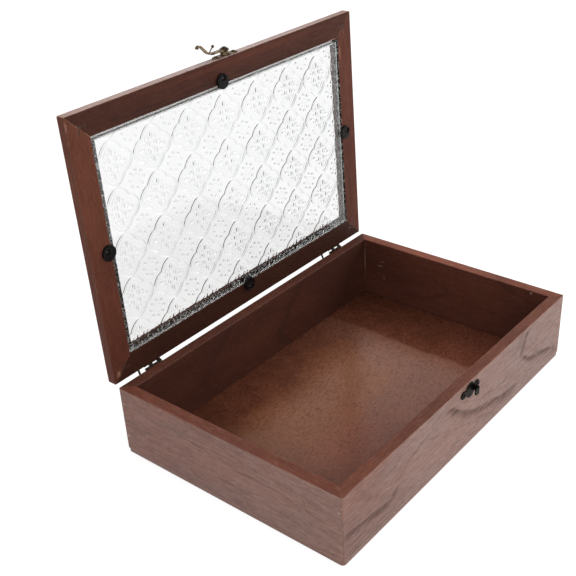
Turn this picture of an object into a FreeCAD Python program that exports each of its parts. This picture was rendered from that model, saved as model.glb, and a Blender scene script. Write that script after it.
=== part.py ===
import FreeCAD, Part
import math
import os

# A hinged wooden jewelry box with a patterned glass lid, standing open.
# The origin is the centre of the underside, X runs along the hinge line,
# the front faces -Y and Z points up. All sizes are millimetres.

# Box boards
box_length = 300.0
box_depth = 200.0
board_height = 54.0
board_thickness = 9.0
corner_ease = 1.0
rim_ease = 0.6

# Bottom panel, glued and nailed under the boards
bottom_thickness = 3.5
bottom_corner_radius = 3.0
bottom_edge_ease = 0.6

# Headed brads that hold the mitres and the bottom panel
brad_radius = 0.6
brad_head_radius = 1.0
brad_head_height = 0.8
brad_length = 16.0
corner_brad_from_edge = 2.8
corner_brad_from_rim = 13.0
corner_brad_from_foot = 12.0
bottom_brad_spacing = 62.0

# Lid frame
lid_thickness = 7.5
lid_rail_width = 18.0
lid_lip_width = 4.5
lid_corner_ease = 1.2
lid_top_round = 1.0
lid_inner_ease = 0.4
lid_closed_gap = 0.3
lid_open_angle = 92.0

# V-shaped nails driven across the lid's mitres from inside
v_nail_leg = 6.5
v_nail_gauge = 0.7
v_nail_depth = 4.5
v_nail_from_edge = 9.2

# Glass pane, lying in the lid's rebate
pane_thickness = 3.8
pane_recess = 0.2
pane_play = 0.3
pane_gap_right = 2.3
pane_gap_front = 2.6

# Eccentric rubber washers that hold the pane
retainer_radius = 5.75
retainer_height = 2.0
retainer_round = 0.7
retainer_offset = 2.6
retainer_screw_inset = 13.3
retainer_recess_radius = 2.4
retainer_recess_depth = 0.9
retainer_ring_radius = 3.0
retainer_ring_height = 0.35
left_retainer_from_back = 101.5
right_retainer_from_back = 102.0
front_retainer_from_left = 143.0
back_retainer_from_left = 148.2
left_retainer_turn = 35.0
right_retainer_turn = -30.0
front_retainer_turn = 8.0
back_retainer_turn = -6.0

# Hinges: strip brass rolled round a pin, four knuckles each
hinge_length = 16.0
hinge_gauge = 0.5
hinge_pin_radius = 0.5
hinge_running_gap = 0.05
hinge_knuckle_gap = 0.12
hinge_knuckle_count = 4
hinge_pin_overhang = 0.3
hinge_setback = 1.9
hinge_drop = 1.0
hinge_plate_height = 6.3
hinge_curl_turn = 280.0
hinge_joggle_radius = 0.7
hinge_joggle_turn = 45.0
hinge_plate_corner = 0.8
hinge_screw_spacing = 9.0
left_hinge_from_end = 36.5
right_hinge_from_end = 39.0

# Brads in the lid's back edge that stop it just past upright
stop_pin_radius = 0.85
stop_pin_slope = 22.0
stop_pin_in_wood = 6.0
stop_pin_clearance = 0.3
stop_pin_from_inner_face = 1.8
left_stop_pin_from_hinge = 12.7
right_stop_pin_from_hinge = 15.9

# Small wood screws
small_head_radius = 1.45
small_head_height = 0.6
round_head_radius = 1.8
round_head_height = 0.8
screw_shank_radius = 0.9
screw_length = 6.0
slot_width = 0.45
slot_depth = 0.3

# Latch plate and swing hook on the lid's front edge
latch_offset = 2.3
latch_plate_length = 24.6
latch_plate_width = 5.7
latch_plate_thickness = 1.0
latch_screw_spacing = 18.6
boss_base_radius = 3.4
boss_top_radius = 2.7
boss_height = 2.6
rivet_radius = 1.2
rivet_head_radius = 2.65
rivet_head_height = 1.5
rivet_running_gap = 0.05
hook_play = 0.15
hook_gauge = 1.2
hook_eye_radius = 3.5
hook_root_width = 3.4
hook_tip_width = 2.4
hook_straight = 12.5
hook_bend_radius = 9.0
hook_bend_turn = 46.0
hook_rise = 6.6
hook_curl_radius = 2.4
hook_curl_turn = 116.0
prong_radius = 0.45
prong_root_past_lip = 3.5
prong_ball_radius = 1.15
prong_ball_above_lip_end = 1.2
prong_ball_gap = 1.15

# Catch on the front board
catch_plate_length = 25.0
catch_centre_radius = 6.0
catch_lobe_radius = 3.2
catch_neck_width = 4.6
catch_plate_thickness = 1.0
catch_edge_bevel = 0.4
catch_screw_spacing = 18.6
nose_gauge = 1.1
nose_hook_gap = 0.3
nose_lip_width = 6.5
nose_lip_gap = 0.9
nose_height = 5.0
nose_bend_radius = 1.8
nose_lip_round = 1.2
nose_above_centre = 4.0

# Values worked out from the sizes above
rim_z = bottom_thickness + board_height
front_y = -box_depth / 2
back_y = box_depth / 2
axis_y = back_y + hinge_setback
axis_z = rim_z - hinge_drop
lid_inner_z = rim_z + lid_closed_gap
lid_outer_z = lid_inner_z + lid_thickness
rebate_depth = pane_thickness + pane_recess
pivot_z = lid_inner_z + lid_thickness / 2
hook_inner_h = latch_plate_thickness + boss_height + hook_play
hook_mid_h = hook_inner_h + hook_gauge / 2
nose_outer_h = hook_inner_h + hook_gauge + nose_lip_gap + nose_gauge
nose_end_z = pivot_z - hook_straight
catch_z = nose_end_z + nose_height - nose_above_centre
left_hinge_x = -box_length / 2 + left_hinge_from_end
right_hinge_x = box_length / 2 - right_hinge_from_end
hinge_positions = (left_hinge_x, right_hinge_x)

X_AXIS = FreeCAD.Vector(1, 0, 0)
Y_AXIS = FreeCAD.Vector(0, 1, 0)
Z_AXIS = FreeCAD.Vector(0, 0, 1)
ORIGIN = FreeCAD.Vector(0, 0, 0)
SIDES = ("front", "back", "left", "right")


def vector(x, y, z=0.0):
    return FreeCAD.Vector(x, y, z)


def block(low, high):
    size = high.sub(low)
    return Part.makeBox(size.x, size.y, size.z, low)


def prism(points, bottom, top):
    """Upright prism over a closed outline of (x, y) points."""
    corners = [vector(x, y, bottom) for x, y in points]
    outline = Part.makePolygon(corners + corners[:1])
    return Part.Face(outline).extrude(Z_AXIS * (top - bottom))


def fuse_all(shapes):
    return shapes[0].multiFuse(shapes[1:]).removeSplitter()


def group(shapes):
    return Part.makeCompound(shapes)


def edges_at_height(shape, height):
    """Edges that lie wholly in the level plane at this height."""
    found = []
    for edge in shape.Edges:
        box = edge.BoundBox
        if abs(box.ZMin - height) < 0.001 and abs(box.ZMax - height) < 0.001:
            found.append(edge)
    return found


def upright_edges(shape):
    found = []
    for edge in shape.Edges:
        box = edge.BoundBox
        if box.XLength < 0.001 and box.YLength < 0.001:
            found.append(edge)
    return found


# Where things go

def opened(shape):
    """Turns a piece of the closed lid about the hinge pins to the open pose."""
    return shape.rotated(vector(0, axis_y, axis_z), X_AXIS, -lid_open_angle)


def on_front(shape, x, z):
    """Stands a shape built on the XY plane on the front face, +Z outward."""
    return shape.rotated(ORIGIN, X_AXIS, 90).translated(vector(x, front_y, z))


def on_back(shape, x, z):
    """Stands a shape built on the XY plane on the back face, +Z outward."""
    return shape.rotated(ORIGIN, X_AXIS, -90).translated(vector(x, back_y, z))


def under_lid(shape, x, y):
    """Hangs a shape built on the XY plane from the closed lid's inner face."""
    return shape.rotated(ORIGIN, X_AXIS, 180).translated(vector(x, y, lid_inner_z))


# Strip metal

def strip_face(start, heading, runs, gauge):
    """Section of a bent strip in the XY plane.

    runs is a list of ("line", length) and ("arc", radius, turn), where a
    positive turn bears left. The strip's centre line starts at start.
    """
    left_edges = []
    right_edges = []
    point = vector(*start)
    angle = heading
    half = gauge / 2

    def side_normal(degrees):
        radians = math.radians(degrees)
        return vector(-math.sin(radians), math.cos(radians))

    first_normal = side_normal(angle)
    first_left = point.add(first_normal * half)
    first_right = point.sub(first_normal * half)
    for run in runs:
        normal = side_normal(angle)
        if run[0] == "line":
            radians = math.radians(angle)
            step = vector(math.cos(radians), math.sin(radians)) * run[1]
            for edges, offset in ((left_edges, half), (right_edges, -half)):
                begin = point.add(normal * offset)
                edges.append(Part.LineSegment(begin, begin.add(step)).toShape())
            point = point.add(step)
        else:
            radius = math.copysign(run[1], run[2])
            centre = point.add(normal * radius)
            for edges, offset in ((left_edges, half), (right_edges, -half)):
                marks = []
                for share in (0.0, 0.5, 1.0):
                    spoke = side_normal(angle + share * run[2])
                    marks.append(centre.sub(spoke * (radius - offset)))
                edges.append(Part.Arc(*marks).toShape())
            angle = angle + run[2]
            point = centre.sub(side_normal(angle) * radius)
    last_normal = side_normal(angle)
    last_left = point.add(last_normal * half)
    last_right = point.sub(last_normal * half)
    start_cap = Part.LineSegment(first_right, first_left).toShape()
    end_cap = Part.LineSegment(last_left, last_right).toShape()
    edges = [start_cap] + left_edges + [end_cap] + right_edges[::-1]
    return Part.Face(Part.Wire(Part.__sortEdges__(edges)))


# Fasteners

def brad():
    """Headed brad, its head's top at the origin and its shank towards -Z."""
    head = Part.makeCylinder(brad_head_radius, brad_head_height, vector(0, 0, -brad_head_height))
    shank = Part.makeCylinder(brad_radius, brad_length, vector(0, 0, -brad_length))
    return head.fuse(shank).removeSplitter()


def slotted(screw, top, reach):
    slot = block(vector(-reach, -slot_width / 2, top - slot_depth),
                 vector(reach, slot_width / 2, top + slot_depth))
    return screw.cut(slot)


def flat_screw_blank():
    """Countersunk screw with its head's top at the origin."""
    head = Part.makeCone(screw_shank_radius, small_head_radius, small_head_height,
                         vector(0, 0, -small_head_height))
    shank = Part.makeCylinder(screw_shank_radius, screw_length, vector(0, 0, -screw_length))
    return head.fuse(shank).removeSplitter()


def flat_screw():
    return slotted(flat_screw_blank(), 0.0, small_head_radius + 1)


def round_screw_blank():
    """Round-headed screw with the underside of its head at the origin."""
    sphere_radius = (round_head_radius ** 2 + round_head_height ** 2) / (2 * round_head_height)
    ball = Part.makeSphere(sphere_radius, vector(0, 0, round_head_height - sphere_radius))
    head = ball.common(Part.makeCylinder(round_head_radius, round_head_height))
    shank = Part.makeCylinder(screw_shank_radius, screw_length, vector(0, 0, -screw_length))
    return head.fuse(shank).removeSplitter()


def round_screw():
    return slotted(round_screw_blank(), round_head_height, round_head_radius + 1)


# Box

def mitre_wedge(side, length, depth, bottom, top):
    """The quarter of a rectangular frame that one mitred board takes."""
    overreach = 10.0
    half_length = length / 2 + overreach
    half_depth = depth / 2 + overreach
    ridge = half_length - half_depth
    outlines = {
        "front": [(-half_length, -half_depth), (half_length, -half_depth), (ridge, 0), (-ridge, 0)],
        "back": [(-half_length, half_depth), (-ridge, 0), (ridge, 0), (half_length, half_depth)],
        "left": [(-half_length, -half_depth), (-ridge, 0), (-half_length, half_depth)],
        "right": [(half_length, -half_depth), (half_length, half_depth), (ridge, 0)],
    }
    return prism(outlines[side], bottom, top)


def carcass():
    """The four boards as one ring, with the rim and the corners eased."""
    outer = block(vector(-box_length / 2, front_y, bottom_thickness),
                  vector(box_length / 2, back_y, rim_z))
    outer = outer.makeFillet(corner_ease, upright_edges(outer))
    inner = block(vector(-box_length / 2 + board_thickness, front_y + board_thickness, 0),
                  vector(box_length / 2 - board_thickness, back_y - board_thickness, rim_z + 1))
    ring = outer.cut(inner)
    return ring.makeFillet(rim_ease, edges_at_height(ring, rim_z))


def corner_brads():
    """Two brads at each corner, driven through the end boards into the long ones."""
    brads = []
    for side in (-1, 1):
        aimed = brad().rotated(ORIGIN, Y_AXIS, 90 * side)
        for y in (front_y + corner_brad_from_edge, back_y - corner_brad_from_edge):
            for z in (bottom_thickness + corner_brad_from_foot, rim_z - corner_brad_from_rim):
                brads.append(aimed.translated(vector(side * box_length / 2, y, z)))
    return brads


def spread(length, spacing):
    """Evenly spaced places along a length, about one spacing apart."""
    count = max(2, round(length / spacing))
    return [length * (index + 0.5) / count - length / 2 for index in range(count)]


def bottom_brads():
    """Brads up through the bottom panel into the middle of each board."""
    upward = brad().rotated(ORIGIN, X_AXIS, 180)
    board_mid_x = box_length / 2 - board_thickness / 2
    board_mid_y = box_depth / 2 - board_thickness / 2
    places = [(x, y) for x in spread(box_length, bottom_brad_spacing) for y in (-board_mid_y, board_mid_y)]
    places += [(x, y) for y in spread(box_depth, bottom_brad_spacing) for x in (-board_mid_x, board_mid_x)]
    return [upward.translated(vector(x, y, 0)) for x, y in places]


def bottom_panel():
    panel = block(vector(-box_length / 2, front_y, 0), vector(box_length / 2, back_y, bottom_thickness))
    panel = panel.makeFillet(bottom_corner_radius, upright_edges(panel))
    return panel.makeChamfer(bottom_edge_ease, edges_at_height(panel, 0))


# Hinges

def hinge_curl_radius():
    return hinge_pin_radius + hinge_running_gap + hinge_gauge / 2


def leaf_section(direction):
    """Section of a leaf, with the pin's centre at the origin.

    The strip is rolled round the pin, joggles over to the wood and runs on
    as a flat plate. direction is +1 for the lid's leaf and -1 for the box's.
    X is the distance behind the pin and Y is height.
    """
    curl = hinge_curl_radius()
    plate_x = -hinge_setback + hinge_gauge / 2
    bend = math.radians(hinge_joggle_turn)
    slant_shift = -plate_x - curl - 2 * hinge_joggle_radius * (1 - math.cos(bend))
    slant = slant_shift / math.sin(bend)
    turn = direction * hinge_joggle_turn
    start_angle = 180 + direction * hinge_curl_turn
    start = (curl * math.cos(math.radians(start_angle)), curl * math.sin(math.radians(start_angle)))
    heading = direction * 90 + direction * hinge_curl_turn
    runs = [("arc", curl, -direction * hinge_curl_turn),
            ("arc", hinge_joggle_radius, turn), ("line", slant),
            ("arc", hinge_joggle_radius, -turn), ("line", hinge_plate_height)]
    return strip_face(start, heading, runs, hinge_gauge)


def hinge_joggle_height():
    bend = math.radians(hinge_joggle_turn)
    shift = hinge_setback - hinge_gauge / 2 - hinge_curl_radius()
    slant_shift = shift - 2 * hinge_joggle_radius * (1 - math.cos(bend))
    return 2 * hinge_joggle_radius * math.sin(bend) + slant_shift / math.tan(bend)


def hinge_leaf(direction, centre_x):
    """One leaf in the closed pose, with its knuckles and countersunk holes."""
    section = leaf_section(direction)
    leaf = section.extrude(Z_AXIS * hinge_length).translated(Z_AXIS * (-hinge_length / 2))
    leaf = round_plate_corners(leaf, direction)
    leaf = leaf.rotated(ORIGIN, Y_AXIS, 90).rotated(ORIGIN, X_AXIS, 90)
    leaf = leaf.translated(vector(centre_x, axis_y, axis_z))
    for index in range(hinge_knuckle_count):
        if (index % 2 == 0) == (direction > 0):
            leaf = leaf.cut(knuckle_slot(index, direction, centre_x))
    for screw in hinge_screw_places(direction, centre_x):
        leaf = leaf.cut(on_back(flat_screw_blank().translated(Z_AXIS * hinge_gauge), *screw))
    return leaf


def round_plate_corners(leaf, direction):
    """Rounds the two free corners of the plate."""
    end = direction * (hinge_joggle_height() + hinge_plate_height)
    corners = []
    for edge in leaf.Edges:
        box = edge.BoundBox
        if box.YLength < 0.001 and abs(box.YMin - end) < 0.01 and box.ZLength < 0.001:
            corners.append(edge)
    return leaf.makeFillet(hinge_plate_corner, corners)


def knuckle_slot(index, direction, centre_x):
    """Room in one leaf for a knuckle of the other."""
    pitch = hinge_length / hinge_knuckle_count
    low_x = centre_x - hinge_length / 2 + index * pitch - hinge_knuckle_gap
    high_x = low_x + pitch + 2 * hinge_knuckle_gap
    reach = hinge_setback + hinge_gauge
    plate_end = axis_z + direction * hinge_joggle_height()
    far_end = axis_z - direction * reach
    low = vector(low_x, back_y - 1, min(plate_end, far_end))
    high = vector(high_x, axis_y + reach, max(plate_end, far_end))
    return block(low, high)


def hinge_screw_places(direction, centre_x):
    z = axis_z + direction * (hinge_joggle_height() + hinge_plate_height / 2)
    return [(centre_x - hinge_screw_spacing / 2, z), (centre_x + hinge_screw_spacing / 2, z)]


def hinge_screws(direction, blank=False):
    """The flat-headed screws of both leaves on one side of the pins."""
    screw = flat_screw_blank() if blank else flat_screw()
    raised = screw.translated(Z_AXIS * hinge_gauge)
    return [on_back(raised, x, z) for centre in hinge_positions
            for x, z in hinge_screw_places(direction, centre)]


def hinge_pins():
    length = hinge_length + 2 * hinge_pin_overhang
    pins = []
    for centre in hinge_positions:
        pin = Part.makeCylinder(hinge_pin_radius, length, vector(centre - length / 2, axis_y, axis_z), X_AXIS)
        pins.append(pin.makeChamfer(hinge_pin_overhang / 2, pin.Edges[:1] + pin.Edges[2:]))
    return pins


# Lid

def lid_ring():
    """The lid's frame as one ring, rebated on the inner face."""
    ring = block(vector(-box_length / 2, front_y, lid_inner_z), vector(box_length / 2, back_y, lid_outer_z))
    ring = ring.makeFillet(lid_corner_ease, upright_edges(ring))
    ring = ring.makeFillet(lid_top_round, edges_at_height(ring, lid_outer_z))
    ring = ring.makeFillet(lid_inner_ease, edges_at_height(ring, lid_inner_z))
    inset = lid_rail_width
    ring = ring.cut(window_block(inset, lid_inner_z - 1, lid_inner_z + rebate_depth))
    inset = lid_rail_width + lid_lip_width
    ring = ring.cut(window_block(inset, lid_inner_z, lid_outer_z + 1))
    lip_edges = [edge for edge in edges_at_height(ring, lid_outer_z)
                 if edge.BoundBox.XMax < box_length / 2 - lid_rail_width
                 and edge.BoundBox.XMin > lid_rail_width - box_length / 2]
    return ring.makeFillet(lid_top_round, lip_edges)


def window_block(inset, bottom, top):
    return block(vector(-box_length / 2 + inset, front_y + inset, bottom),
                 vector(box_length / 2 - inset, back_y - inset, top))


def v_nails():
    """One nail at each mitre, its vertex towards the lid's corner."""
    nails = []
    for side_x in (-1, 1):
        for side_y in (-1, 1):
            x = side_x * (box_length / 2 - v_nail_from_edge)
            y = side_y * (box_depth / 2 - v_nail_from_edge)
            near_x = x - side_x * v_nail_gauge
            near_y = y - side_y * v_nail_gauge
            far_x = x - side_x * v_nail_leg
            far_y = y - side_y * v_nail_leg
            outline = [(x, y), (far_x, y), (far_x, near_y), (near_x, near_y), (near_x, far_y), (x, far_y)]
            nails.append(prism(outline, lid_inner_z, lid_inner_z + v_nail_depth))
    return nails


def glass_pane():
    """The pane rests against the left and back walls of the rebate."""
    low_x = -box_length / 2 + lid_rail_width + pane_play
    high_x = box_length / 2 - lid_rail_width - pane_gap_right
    low_y = front_y + lid_rail_width + pane_gap_front
    high_y = back_y - lid_rail_width - pane_play
    bottom = lid_inner_z + pane_recess
    return block(vector(low_x, low_y, bottom), vector(high_x, high_y, bottom + pane_thickness))


def retainer_places():
    """Screw place and heading of each washer: (name, x, y, degrees)."""
    left_x = -box_length / 2 + retainer_screw_inset
    right_x = box_length / 2 - retainer_screw_inset
    low_y = front_y + retainer_screw_inset
    high_y = back_y - retainer_screw_inset
    return [
        ("retainer_left", left_x, back_y - left_retainer_from_back, left_retainer_turn),
        ("retainer_right", right_x, back_y - right_retainer_from_back, 180 + right_retainer_turn),
        ("retainer_front", front_retainer_from_left - box_length / 2, low_y, 90 + front_retainer_turn),
        ("retainer_back", back_retainer_from_left - box_length / 2, high_y, -90 + back_retainer_turn),
    ]


def retainer(x, y, heading):
    """Rubber washer with its screw off centre, so that it can be turned clear."""
    disc = Part.makeCylinder(retainer_radius, retainer_height)
    disc = disc.makeFillet(retainer_round, edges_at_height(disc, retainer_height))
    radians = math.radians(heading)
    disc = disc.translated(vector(math.cos(radians), -math.sin(radians)) * retainer_offset)
    ring = Part.makeCylinder(retainer_ring_radius, retainer_height + retainer_ring_height)
    crest = edges_at_height(ring, retainer_height + retainer_ring_height)
    ring = ring.makeFillet(retainer_ring_height * 0.8, crest)
    recess = Part.makeCylinder(retainer_recess_radius, retainer_height,
                               vector(0, 0, retainer_height - retainer_recess_depth))
    hole = Part.makeCylinder(screw_shank_radius, retainer_height)
    return under_lid(disc.fuse(ring).cut(recess).cut(hole), x, y)


def retainer_screws(blank=False):
    screw = round_screw_blank() if blank else round_screw()
    seated = screw.translated(Z_AXIS * (retainer_height - retainer_recess_depth))
    return [under_lid(seated, x, y) for name, x, y, heading in retainer_places()]


def stop_pin_places():
    return [left_hinge_x - left_stop_pin_from_hinge, right_hinge_x - right_stop_pin_from_hinge]


def stop_pins():
    """Slanting brads in the back edge, in the open pose.

    Their tips stand just clear of the back board, where they stop the lid.
    """
    radians = math.radians(stop_pin_slope)
    aim = vector(0, -math.sin(radians), -math.cos(radians))
    edge_z = axis_z + hinge_setback
    mouth_y = axis_y + hinge_drop + lid_closed_gap + stop_pin_from_inner_face
    tip_y = back_y + stop_pin_clearance + stop_pin_radius
    below = (mouth_y - tip_y) / math.sin(radians)
    pins = []
    for x in stop_pin_places():
        head = vector(x, mouth_y, edge_z).sub(aim * stop_pin_in_wood)
        shank = Part.makeCylinder(stop_pin_radius, below + stop_pin_in_wood, head, aim)
        tip = Part.makeSphere(stop_pin_radius, head.add(aim * (below + stop_pin_in_wood)))
        pins.append(shank.fuse(tip).removeSplitter())
    return pins


# Latch, built on the XY plane with its pivot at the origin and +Z outward

def latch_screw_places():
    return (-latch_screw_spacing / 2, latch_screw_spacing / 2)


def latch_plate():
    """Round-ended plate with a raised boss under the hook's eye."""
    radius = latch_plate_width / 2
    reach = latch_plate_length / 2 - radius
    bar = block(vector(-reach, -radius, 0), vector(reach, radius, latch_plate_thickness))
    ends = [Part.makeCylinder(radius, latch_plate_thickness, vector(x, 0, 0)) for x in (-reach, reach)]
    plate = fuse_all([bar] + ends)
    plate = plate.makeChamfer(latch_plate_thickness * 0.35, edges_at_height(plate, latch_plate_thickness))
    boss = Part.makeCone(boss_base_radius, boss_top_radius, boss_height, vector(0, 0, latch_plate_thickness))
    boss = boss.common(block(vector(-boss_base_radius, -radius, 0), vector(boss_base_radius, radius, 10)))
    plate = plate.fuse(boss)
    plate = plate.cut(rivet_shank())
    for x in latch_screw_places():
        hole = Part.makeCylinder(screw_shank_radius, latch_plate_thickness, vector(x, 0, 0))
        plate = plate.cut(hole)
    return plate


def rivet_shank():
    return Part.makeCylinder(rivet_radius, hook_inner_h + hook_gauge + hook_play)


def latch_rivet():
    """Domed rivet that the hook turns on."""
    under_head = hook_inner_h + hook_gauge + hook_play
    sphere_radius = (rivet_head_radius ** 2 + rivet_head_height ** 2) / (2 * rivet_head_height)
    ball = Part.makeSphere(sphere_radius, vector(0, 0, under_head + rivet_head_height - sphere_radius))
    head = ball.common(Part.makeCylinder(rivet_head_radius, rivet_head_height, vector(0, 0, under_head)))
    return rivet_shank().fuse(head).removeSplitter()


def hook_strip():
    """The hook's strip seen from the side: straight, swan neck, curled tip."""
    start = (-hook_eye_radius, hook_mid_h)
    runs = [("line", hook_eye_radius + hook_straight),
            ("arc", hook_bend_radius, hook_bend_turn), ("line", hook_rise),
            ("arc", hook_curl_radius, -hook_curl_turn)]
    face = strip_face(start, 0, runs, hook_gauge)
    width = 2 * hook_eye_radius
    strip = face.extrude(Z_AXIS * width).translated(Z_AXIS * (-width / 2))
    return strip.rotated(ORIGIN, X_AXIS, 90)


def hook_reach():
    """How far the curled tip stands from the pivot."""
    bend = math.radians(hook_bend_turn)
    droop = math.radians(min(90, hook_curl_turn - hook_bend_turn))
    curl_start = hook_straight + hook_bend_radius * math.sin(bend) + hook_rise * math.cos(bend)
    return curl_start + hook_curl_radius * (math.sin(bend) + math.sin(droop))


def hook_outline():
    """The hook seen from the front: a round eye and a tapering arm."""
    tall = 30.0
    reach = hook_reach() + hook_gauge
    root = hook_root_width / 2
    tip = hook_tip_width / 2
    edge = [(0, root), (hook_straight, root), (reach, tip)]
    arm = prism([(x, -y) for x, y in edge] + edge[::-1], 0, tall)
    eye = Part.makeCylinder(hook_eye_radius, tall)
    return fuse_all([arm, eye])


def hook_prong():
    """Thin prong with a ball end that closes round the outside of the nose.

    It springs from the swan neck's bend and leans back over the lip.
    """
    turn = math.asin(prong_root_past_lip / hook_bend_radius)
    root_h = hook_mid_h + hook_bend_radius * (1 - math.cos(turn))
    root = vector(hook_straight + prong_root_past_lip, 0, root_h)
    ball_h = nose_outer_h + prong_ball_gap + prong_ball_radius
    ball_centre = vector(hook_straight - prong_ball_above_lip_end, 0, ball_h)
    stem = Part.makeCylinder(prong_radius, ball_centre.sub(root).Length, root, ball_centre.sub(root))
    return [stem, Part.makeSphere(prong_ball_radius, ball_centre)]


def latch_hook():
    """Swing hook with a swan neck, pointing towards the left as it rests."""
    hook = hook_strip().common(hook_outline())
    hook = fuse_all([hook] + hook_prong())
    bore = Part.makeCylinder(rivet_radius + rivet_running_gap, 30)
    return hook.cut(bore).rotated(ORIGIN, Z_AXIS, 180)


# Catch, built on the XY plane with the centre of its plate at the origin

def catch_screw_places():
    return (-catch_screw_spacing / 2, catch_screw_spacing / 2)


def catch_plate():
    """Plate with a round middle and two round lobes, bevelled all round."""
    reach = catch_plate_length / 2 - catch_lobe_radius
    shapes = [Part.makeCylinder(catch_centre_radius, catch_plate_thickness),
              block(vector(-reach, -catch_neck_width / 2, 0),
                    vector(reach, catch_neck_width / 2, catch_plate_thickness))]
    for x in (-reach, reach):
        shapes.append(Part.makeCylinder(catch_lobe_radius, catch_plate_thickness, vector(x, 0, 0)))
    plate = fuse_all(shapes)
    plate = plate.makeChamfer(catch_edge_bevel, edges_at_height(plate, catch_plate_thickness))
    for x in catch_screw_places():
        plate = plate.cut(Part.makeCylinder(screw_shank_radius, catch_plate_thickness, vector(x, 0, 0)))
    return plate


def catch_nose():
    """Bent lip that the hook swings in behind, open to the left.

    Its root stands on the plate beside the closed hook and its lip bends over.
    """
    root_x = hook_root_width / 2 + nose_hook_gap + nose_gauge / 2
    rise = nose_outer_h - nose_gauge / 2 - nose_bend_radius - catch_plate_thickness
    lip = nose_lip_width - nose_gauge / 2 - nose_bend_radius
    runs = [("line", rise), ("arc", nose_bend_radius, 90), ("line", lip)]
    face = strip_face((root_x, catch_plate_thickness), 90, runs, nose_gauge)
    top = nose_above_centre
    nose = face.extrude(Z_AXIS * nose_height).translated(Z_AXIS * (-nose_height))
    nose = nose.rotated(ORIGIN, X_AXIS, 90).translated(vector(0, top - nose_height, 0))
    lip_end = root_x + nose_gauge / 2 - nose_lip_width
    corners = [edge for edge in nose.Edges
               if abs(edge.BoundBox.XMin - lip_end) < 0.01 and abs(edge.BoundBox.XMax - lip_end) < 0.01
               and edge.BoundBox.ZLength > 0.5]
    return nose.makeFillet(nose_lip_round, corners)


# Assembly

def make_box():
    ring = carcass()
    fixings = corner_brads() + bottom_brads() + hinge_screws(-1, blank=True)
    catch_blank = round_screw_blank().translated(Z_AXIS * catch_plate_thickness)
    fixings += [on_front(catch_blank, latch_offset + x, catch_z) for x in catch_screw_places()]
    nodes = {}
    for side in SIDES:
        wedge = mitre_wedge(side, box_length, box_depth, 0, rim_z + 1)
        nodes["box_" + side] = ring.common(wedge).cut(fixings)
    nodes["box_bottom"] = bottom_panel().cut(bottom_brads())
    nodes["corner_brads"] = group(corner_brads())
    nodes["bottom_brads"] = group(bottom_brads())
    nodes["hinge_box_leaf_left"] = hinge_leaf(-1, left_hinge_x)
    nodes["hinge_box_leaf_right"] = hinge_leaf(-1, right_hinge_x)
    nodes["hinge_pins"] = group(hinge_pins())
    nodes["hinge_box_screws"] = group(hinge_screws(-1))
    nodes["catch_plate"] = on_front(catch_plate(), latch_offset, catch_z)
    nodes["catch_nose"] = on_front(catch_nose(), latch_offset, catch_z)
    screw = round_screw().translated(Z_AXIS * catch_plate_thickness)
    nodes["catch_screws"] = group([on_front(screw, latch_offset + x, catch_z) for x in catch_screw_places()])
    return nodes


def make_lid():
    ring = lid_ring()
    latch_blank = round_screw_blank().translated(Z_AXIS * latch_plate_thickness)
    fixings = v_nails() + retainer_screws(blank=True) + hinge_screws(1, blank=True)
    fixings += [on_front(latch_blank, latch_offset + x, pivot_z) for x in latch_screw_places()]
    names = {"front": "lid_front_rail", "back": "lid_back_rail",
             "left": "lid_left_stile", "right": "lid_right_stile"}
    nodes = {}
    for side in SIDES:
        wedge = mitre_wedge(side, box_length, box_depth, lid_inner_z - 1, lid_outer_z + 1)
        nodes[names[side]] = opened(ring.common(wedge).cut(fixings))
    nodes["lid_back_rail"] = nodes["lid_back_rail"].cut(stop_pins())
    nodes["lid_corner_nails"] = opened(group(v_nails()))
    nodes["glass_pane"] = opened(glass_pane())
    for name, x, y, heading in retainer_places():
        nodes[name] = opened(retainer(x, y, heading))
    nodes["retainer_screws"] = opened(group(retainer_screws()))
    nodes["hinge_lid_leaf_left"] = opened(hinge_leaf(1, left_hinge_x))
    nodes["hinge_lid_leaf_right"] = opened(hinge_leaf(1, right_hinge_x))
    nodes["hinge_lid_screws"] = opened(group(hinge_screws(1)))
    nodes["lid_stop_pins"] = group(stop_pins())
    nodes["latch_plate"] = opened(on_front(latch_plate(), latch_offset, pivot_z))
    nodes["latch_rivet"] = opened(on_front(latch_rivet(), latch_offset, pivot_z))
    screw = round_screw().translated(Z_AXIS * latch_plate_thickness)
    screws = [on_front(screw, latch_offset + x, pivot_z) for x in latch_screw_places()]
    nodes["latch_screws"] = opened(group(screws))
    nodes["latch_hook"] = opened(on_front(latch_hook(), latch_offset, pivot_z))
    return nodes


def main():
    os.makedirs("parts", exist_ok=True)
    nodes = make_box()
    nodes.update(make_lid())
    for name, shape in nodes.items():
        shape.exportStep(os.path.join("parts", name + ".step"))
        print(name, len(shape.Solids), "solids", round(shape.Volume, 1), "mm3", shape.isValid())


main()
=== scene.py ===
import math

import bmesh
import bpy
import numpy as np
from mathutils import Matrix, Vector


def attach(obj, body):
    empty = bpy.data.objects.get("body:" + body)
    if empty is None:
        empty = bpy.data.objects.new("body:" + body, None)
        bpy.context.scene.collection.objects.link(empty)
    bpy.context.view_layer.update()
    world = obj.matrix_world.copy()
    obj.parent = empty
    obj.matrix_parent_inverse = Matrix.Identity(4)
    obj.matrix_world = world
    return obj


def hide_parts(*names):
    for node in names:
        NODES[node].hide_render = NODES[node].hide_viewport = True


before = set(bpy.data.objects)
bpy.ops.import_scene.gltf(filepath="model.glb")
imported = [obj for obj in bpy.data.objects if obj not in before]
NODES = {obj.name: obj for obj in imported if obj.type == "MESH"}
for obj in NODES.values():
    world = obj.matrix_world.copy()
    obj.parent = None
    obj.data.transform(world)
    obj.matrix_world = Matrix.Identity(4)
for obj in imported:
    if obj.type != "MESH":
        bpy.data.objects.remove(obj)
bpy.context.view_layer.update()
MM = 0.001
UP = (0.0, 0.0, 1.0)

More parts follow.
